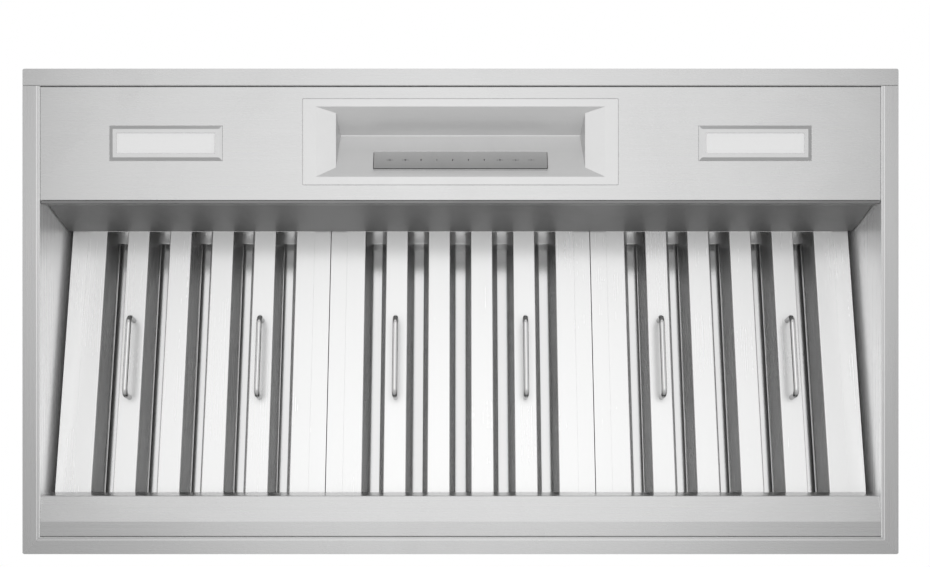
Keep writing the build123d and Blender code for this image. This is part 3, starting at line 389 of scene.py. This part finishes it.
def inside_painted_light(tree, shader, grey):
    """Side walls: the given grey outside; inside, a pale grey of painted light, less metallic."""
    outwards = maths(tree, "MULTIPLY", place_on_object(tree)["X"], looks_along(tree, (1, 0, 0)))
    # inner faces: painted light, a pale grey and less metallic
    link(tree, blend(tree, outwards, -0.2, -0.4, 1.0, pale_metallic), shader.inputs["Metallic"])
    return blend(tree, outwards, -0.2, -0.4, grey, inside_painted_light_grey)


def face_painted_light(tree, shader, grey):
    """Filters: the given grey, painted light, on the faces that look into the room; bare folded sides.
    """
    facing = looks_along(tree, into_the_room)
    # faces that look into the room: painted light, paler and less metallic
    link(tree, blend(tree, facing, 0.85, 0.97, 1.0, pale_metallic), shader.inputs["Metallic"])
    return blend(tree, facing, 0.85, 0.97, fold_grey, grey)


def grip_with_painted_dark_flanks(tree, shader, grey):
    """Handles: the given grey along the grip; flanks painted darker, painted shade."""
    # flanks: painted shade, darker where a polished rod shows a dark reflection
    return blend(tree, looks_along(tree, into_the_room), 0.88, 0.45, grey, flank_painted_shade_grey)


# %% [markdown]
# ## The steels of the hood
# Every sheet that the photograph shows gets its own line. A scratch is given as a box, long one way
# and hair-thin the other two: across the panels, front to back on the side walls, and down the slope
# on the filters. Of the sheets, the filters are the palest, with painted light on their faces, and the
# inner wall is the darkest, a grey darkened as painted shade, and the dullest. The handles are rod,
# and the most polished of all.

# %% Steels in sight
across = (0.16, 0.0005, 0.0005)
front_to_back = (0.0005, 0.16, 0.0005)
down_slope = {"scratch": (0.0012, 0.4, 0.0012), "turn": (-filter_lean, 0, 0)}

finishes = {
    "liner_steel": brushed_steel("liner_steel", 0.66, 0.27, across),
    # side walls: painted light on the inner faces
    "side_steel": brushed_steel("side_steel", 0.66, 0.28, front_to_back, tint=inside_painted_light),
    "panel_steel": brushed_steel("panel_steel", 0.68, 0.26, across),
    "bezel_steel": brushed_steel("bezel_steel", 0.71, 0.36, across, contrast=0.04, metallic=0.85),
    # inner wall: the liner's steel darkened, painted shade
    "wall_steel_painted_shade": brushed_steel("wall_steel_painted_shade", 0.265, 0.56, across, rough_swing=0.1),
    "light_trim": brushed_steel("light_trim", 0.70, 0.18, across, contrast=0.03, bump=0.01),
    # filters: painted light on the faces that look into the room
    "filter_steel": brushed_steel("filter_steel", 0.96, 0.27, **down_slope, contrast=0.003, bump=0.0005,
                                  rough_swing=0.02, marks=0.003, tint=face_painted_light),
    "filter_floor": brushed_steel("filter_floor", 0.86, 0.16, **down_slope, contrast=0.01, bump=0.002,
                                  rough_swing=0.1, marks=0.01),
    # handles: painted shade on the flanks
    "handle_steel": brushed_steel("handle_steel", 1.0, 0.13, down_slope["scratch"], contrast=0.02,
                                  bump=0.004, marks=0.01, tint=grip_with_painted_dark_flanks),
    # touch strip: painted shade and highlights are added to it further down
    "touch_strip": brushed_steel("touch_strip", 0.40, 0.24, across, contrast=0.05, edge_highlight_gain=0.6),
}
print("steels in sight:", ", ".join(finishes))

# %% [markdown]
# Inside, the metal is turned, sawn or drawn, and so its grain is shorter and plainer to see: rings
# on the shafts, saw lines on the heat sinks, drawing lines on the capacitor and fine marks on screws.

# %% Steels inside
finishes.update({
    "bare_steel": brushed_steel("bare_steel", 0.58, 0.18, (0.0004, 0.05, 0.05), contrast=0.08),
    "heat_sink": brushed_steel("heat_sink", 0.50, 0.38, (0.02, 0.0008, 0.0008), contrast=0.05),
    "capacitor_can": brushed_steel("capacitor_can", 0.72, 0.30, (0.05, 0.0005, 0.0005), contrast=0.06),
    "screw_steel": brushed_steel("screw_steel", 0.60, 0.28, (0.002, 0.002, 0.002), contrast=0.08,
                                 edge_highlight_gain=0.5),
})
print("steels:", len(finishes))

# %% [markdown]
# ## Zinc-coated sheet
# The duct collar, the blower housing and the wiring box are never polished. They are cut from
# zinc-coated coil, cooler and patchier than stainless steel: a touch more blue, and every crystal of
# the zinc with its own grey and its own gloss.

# %% Zinc-coated finishes
blue_cast = 1.02


def zinc_coated(name, grey, roughness, crystal, contrast):
    """Sheet with a spangled zinc skin and a painted highlight on its edges."""
    material, tree, shader = new_finish(name, (grey, grey, grey), 1.0, roughness)
    skin = use(tree, zinc, Crystal=crystal, Contrast=contrast)
    rounded_edge_highlight = use(tree, edge, Radius=sheet_edge, Gain=0.3)
    dull = use(tree, handled, Patch=0.08, Amount=0.06)["Mask"]
    # the edge mask in the tone is a painted highlight along the edges
    tone = maths(tree, "SUBTRACT", maths(tree, "MULTIPLY_ADD", skin["Shade"], grey, rounded_edge_highlight["Mask"]), dull)
    colour = node(tree, "ShaderNodeCombineColor",
                  inputs={"Red": tone, "Green": tone, "Blue": maths(tree, "MULTIPLY", tone, blue_cast)})
    link(tree, colour.outputs["Color"], shader.inputs["Base Color"])
    gloss = blend(tree, skin["Tone"], 0, 1, roughness * 0.8, roughness * 1.3)
    link(tree, gloss, shader.inputs["Roughness"])
    link(tree, rounded_edge_highlight["Normal"], shader.inputs["Normal"])
    return material


finishes["galvanised"] = zinc_coated("galvanised", grey=0.56, roughness=0.34, crystal=0.010,
                                     contrast=0.26)
finishes["blower_steel"] = zinc_coated("blower_steel", grey=0.48, roughness=0.40, crystal=0.006,
                                       contrast=0.16)
print("finishes with zinc:", len(finishes))

# %% [markdown]
# ## Plastic and paint
# The lens is opal plastic that scatters the light of the board behind it. The motor has thick
# enamel, which pools in soft ripples, and the electronics sit in spark-textured cases. All of them
# are one recipe with pores of different size and depth.

# %% Moulded and painted finishes


def moulded(name, colour, roughness, pore, depth, variation=0.04, marks=0.03, **constants):
    """Moulded or painted skin: a fine texture in height and colour, and rounded edges with a painted
    highlight.
    """
    material, tree, shader = new_finish(name, colour, 0.0, roughness, **constants)
    where = node(tree, "ShaderNodeTexCoord").outputs["Object"]
    pores = node(tree, "ShaderNodeTexNoise",
                 inputs={"Vector": where, "Scale": 1 / pore, "Detail": 3.0}).outputs["Fac"]
    dull = use(tree, handled, Patch=0.06, Amount=marks)["Mask"]
    rounded_edge_highlight = use(tree, edge, Radius=0.0005, Gain=0.2)

    paint = node(tree, "ShaderNodeVectorMath", {"operation": "SCALE"},
                 {0: colour, "Scale": blend(tree, pores, 0, 1, 1 - variation, 1 + variation)})
    # adding the edge mask to the paint gives a painted highlight along the edges
    paint = node(tree, "ShaderNodeVectorMath", {"operation": "ADD"},
                 {0: paint.outputs["Vector"], 1: rounded_edge_highlight["Mask"]})
    link(tree, paint.outputs["Vector"], shader.inputs["Base Color"])
    link(tree, maths(tree, "ADD", roughness, dull), shader.inputs["Roughness"])
    relief = node(tree, "ShaderNodeBump", inputs={"Strength": depth, "Distance": texture_depth,
                                                  "Height": pores, "Normal": rounded_edge_highlight["Normal"]})
    link(tree, relief.outputs["Normal"], shader.inputs["Normal"])
    return material


finishes["lens"] = moulded("lens", (0.84, 0.84, 0.84), roughness=0.30, pore=0.0012, depth=0.15,
                           variation=0.02, Coat_Weight=0.3)
finishes["motor_paint"] = moulded("motor_paint", (0.10, 0.11, 0.12), roughness=0.32, pore=0.0035,
                                  depth=0.5, variation=0.2)
finishes["module_case"] = moulded("module_case", (0.045, 0.045, 0.05), roughness=0.5, pore=0.0008,
                                  depth=0.3, variation=0.15)
finishes["printed_mark"] = moulded("printed_mark", (0.03, 0.03, 0.03), roughness=0.45, pore=0.0003,
                                   depth=0.1, marks=0.01)
print("finishes:", len(finishes))

# %% [markdown]
# ## Which sheet wears which finish
# The side walls are brushed along their own length, so they need their own grain direction. The
# solids keep their meshes, and only their material slots are filled.

# %% Dress the nodes
worn_by = {
    "liner_steel": ["front_wall", "rear_wall", "rear_rail"],
    "wall_steel_painted_shade": ["inner_front_wall"],
    "side_steel": ["left_wall", "right_wall"],
    "panel_steel": ["light_panel"],
    "bezel_steel": ["control_bezel"],
    "touch_strip": ["control_strip"],
    "light_trim": ["left_light_bezel", "right_light_bezel"],
    "lens": ["left_light_lens", "right_light_lens"],
    "heat_sink": ["left_led_module", "right_led_module"],
    "module_case": ["control_module", "led_driver"],
    "galvanised": ["top_panel", "front_filter_channel", "duct_collar", "damper_brackets",
                   "front_damper_flap", "rear_damper_flap", "junction_box", "junction_cover",
                   "capacitor_strap"],
    "blower_steel": ["scroll_wrapper", "left_scroll_plate", "right_scroll_plate", "left_inlet_ring",
                     "right_inlet_ring", "impeller", "motor_bracket"],
    "motor_paint": ["blower_motor"],
    "bare_steel": ["motor_shaft", "motor_bearings", "damper_axle"],
    "capacitor_can": ["run_capacitor"],
    "screw_steel": ["cover_screws", "bracket_screws", "roof_screws", "housing_rivets"],
    "filter_steel": [], "filter_floor": [], "handle_steel": [],
}
for side in ("left", "centre", "right"):
    worn_by["filter_steel"] += [f"{side}_filter_frame", f"{side}_filter_baffles"]
    worn_by["filter_floor"].append(f"{side}_filter_back_baffles")
    worn_by["handle_steel"] += [f"{side}_filter_handle_left", f"{side}_filter_handle_right"]
    worn_by["screw_steel"].append(f"{side}_filter_handle_screws")

dressed = 0
for finish, names in worn_by.items():
    for name in names:
        for slot in nodes[name].material_slots:
            slot.material = finishes[finish]
        dressed += 1
print(f"dressed {dressed} of {len(nodes)} nodes")

# %% [markdown]
# ## The face of the control strip
# The strip lies in the finger recess, tilted towards the cook. What is printed on it has to lie in
# its plane, so its centre, the way it faces and its size are measured on the solid and not typed in.

# %% Measure the strip's face


def seen_face(name):
    """Centre, outward normal and size of a node's largest downward face."""
    mesh = nodes[name].data
    best = max((polygon for polygon in mesh.polygons if polygon.normal.z < -0.5), key=lambda p: p.area)
    level = [p for p in mesh.polygons if p.normal.dot(best.normal) > 0.9999]
    corners = [mesh.vertices[i].co for p in level for i in p.vertices]
    low = Vector(tuple(min(c[k] for c in corners) for k in range(3)))
    high = Vector(tuple(max(c[k] for c in corners) for k in range(3)))
    return (low + high) / 2, best.normal.copy(), high - low


strip_centre, strip_normal, strip_size = seen_face("control_strip")
strip_up = Vector((1, 0, 0)).cross(strip_normal)
strip_up = strip_up if strip_up.y < 0 else -strip_up
strip_frame = Matrix((Vector((1, 0, 0)), strip_up, strip_normal)).transposed().to_4x4()
print("strip face at", tuple(round(v, 4) for v in strip_centre),
      "facing", tuple(round(v, 3) for v in strip_normal),
      "spans", [round(v * 1000, 1) for v in strip_size], "mm")

# %% [markdown]
# The strip is a metal plate whose face carries a grey film. Its colour holds painted light and shade:
# the film is painted darker towards the rear, the bevel has a painted dark line of shade, the sides of
# the plate a painted glint, and along the front the bevel has a painted highlight, where it is also
# glossier and less metallic. Where a point lies and which way it faces tells these apart, so all of
# them go into the strip's own material, between the steel's own colour and the shader.

# %% Film and bevel of the strip, with painted shade and highlights
# painted light and shade on the strip, as shares of the steel's grey
film_front_painted_light, film_rear_painted_shade = 1.36, 0.98  # the film's tone, as a share of the steel's grey
bevel_painted_shade = 0.22
flank_painted_glint = 1.4
front_bevel_painted_highlight, bare_metallic, bare_roughness = 1.0, 0.3, 0.08

tree = finishes["touch_strip"].node_tree
shader = tree.nodes["Principled BSDF"]
steel = shader.inputs["Base Color"].links[0].from_socket
dull = shader.inputs["Roughness"].links[0].from_socket

facing = looks_along(tree, strip_normal)
# the film's tone runs from front to rear: painted shade, darker towards the rear
film = maths(tree, "MULTIPLY", steel,
             blend(tree, place_on_object(tree)["Y"], strip_centre.y - strip_size.y / 2,
                   strip_centre.y + strip_size.y / 2, film_front_painted_light, film_rear_painted_shade))
# the bevel gets a painted dark line of shade, the plate's sides a painted glint
film = maths(tree, "MULTIPLY", film,
             maths(tree, "MAXIMUM", blend(tree, facing, 0.98, 0.90, 1, bevel_painted_shade),
                   blend(tree, facing, 0.3, 0.1, bevel_painted_shade, flank_painted_glint)))
# the front bevel: a painted highlight in the colour, also glossier and less metallic
bare = blend(tree, looks_along(tree, strip_up), 0.3, 0.5, 0, 1)

colour = node(tree, "ShaderNodeMix", {"data_type": "FLOAT"}, {"Factor": bare, "A": film, "B": front_bevel_painted_highlight})
gloss = node(tree, "ShaderNodeMix", {"data_type": "FLOAT"},
             {"Factor": bare, "A": dull, "B": bare_roughness})
link(tree, colour.outputs["Result"], shader.inputs["Base Color"])
link(tree, gloss.outputs["Result"], shader.inputs["Roughness"])
link(tree, blend(tree, bare, 0, 1, 1, bare_metallic), shader.inputs["Metallic"])
print(f"film from {film_front_painted_light} to {film_rear_painted_shade} of the steel's grey, {bevel_painted_shade} on the bevel")

# %% [markdown]
# ## The marks on the control strip
# Ten touch keys are printed in one row. The middle five are the fan speeds, 0 to 4. The others
# stand for power, fan, timer, light and boost, and are drawn as plain pictograms of our own, with a
# short dash on each side that shows how wide a key is. The first helper gives points along an arc,
# and each sign is a few such lines about the middle of its key.

# %% Signs of the keys
mark_height = 0.0022
half = mark_height / 2
dash_start, dash_end = 0.0022, 0.0037


def circle_line(radius, start=0, end=360, steps=24):
    """Points of an arc about the key's centre, angles in degrees."""
    return [(radius * math.cos(math.radians(start + (end - start) * k / steps)),
             radius * math.sin(math.radians(start + (end - start) * k / steps)))
            for k in range(steps + 1)]


blade_arcs = [[(0, 0)] + circle_line(half, a, a + 70, 6) + [(0, 0)] for a in (0, 120, 240)]
dashes = [[(side * dash_start, 0), (side * dash_end, 0)] for side in (-1, 1)]
signs = [
    ("power", [circle_line(half, 125, 415), [(0, 0.2 * half), (0, 1.2 * half)]] + dashes),
    ("fan", blade_arcs + dashes),
    ("0", None), ("1", None), ("2", None), ("3", None), ("4", None),
    ("timer", [circle_line(half), [(0, 0.7 * half), (0, 0), (0.5 * half, 0)]] + dashes),
    ("light", [circle_line(0.7 * half), [(-0.3 * half, -half), (0.3 * half, -half)]] + dashes),
    ("boost", [[(-0.7 * half, 0), (0, 0.8 * half), (0.7 * half, 0)],
               [(-0.7 * half, -0.8 * half), (0, 0), (0.7 * half, -0.8 * half)]] + dashes),
]
print("signs:", ", ".join(sign for sign, strokes in signs))

# %% [markdown]
# The print is a film a few hundredths of a millimetre thick. A digit is a text object with just
# that depth, thickened a little so that it reads from below the hood, and a pictogram is a curve
# with a hair-thin round bevel.

# %% Print a digit or a pictogram
line = 0.00042
film_depth = 0.00003
digit_size = 1.5 * mark_height  # a font's size is more than the height of its digits
digit_swell = 0.00010


def pictogram(name, strokes):
    """Thin raised lines from lists of points, one curve object."""
    drawing = bpy.data.curves.new(name, "CURVE")
    drawing.dimensions = "3D"
    drawing.bevel_depth = line / 2
    drawing.bevel_resolution = 1
    for stroke in strokes:
        spline = drawing.splines.new("POLY")
        spline.points.add(len(stroke) - 1)
        for point, (x, y) in zip(spline.points, stroke):
            point.co = (x, y, 0, 1)
    return bpy.data.objects.new(name, drawing)


def digit(name, body):
    """One printed digit, a text object."""
    figure = bpy.data.curves.new(name, "FONT")
    figure.body = body
    figure.size = digit_size
    figure.align_x = "CENTER"
    figure.align_y = "CENTER"
    figure.extrude = film_depth
    figure.offset = digit_swell
    return bpy.data.objects.new(name, figure)


# %% [markdown]
# The marks stand at even steps along the strip, centred on it, and just off its face. They ride on
# the liner, as the strip does.

# %% Place the marks
key_pitch = 0.0185

for key, (sign, strokes) in enumerate(signs):
    piece = pictogram(f"key_{sign}", strokes) if strokes else digit(f"key_{sign}", sign)
    offset = (key - (len(signs) - 1) / 2) * key_pitch
    piece.matrix_world = Matrix.Translation(strip_centre + Vector((offset, 0, 0))
                                            + strip_normal * film_depth) @ strip_frame
    piece.data.materials.append(finishes["printed_mark"])
    bpy.context.collection.objects.link(piece)
    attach(piece, "liner")
print(f"{len(signs)} marks, {key_pitch * 1000:.1f} mm apart")

# %% [markdown]
# ## The view transform
# The view transform stays plain, so a colour renders as it is written.

# %% View transform
bpy.context.scene.view_settings.view_transform = "Standard"
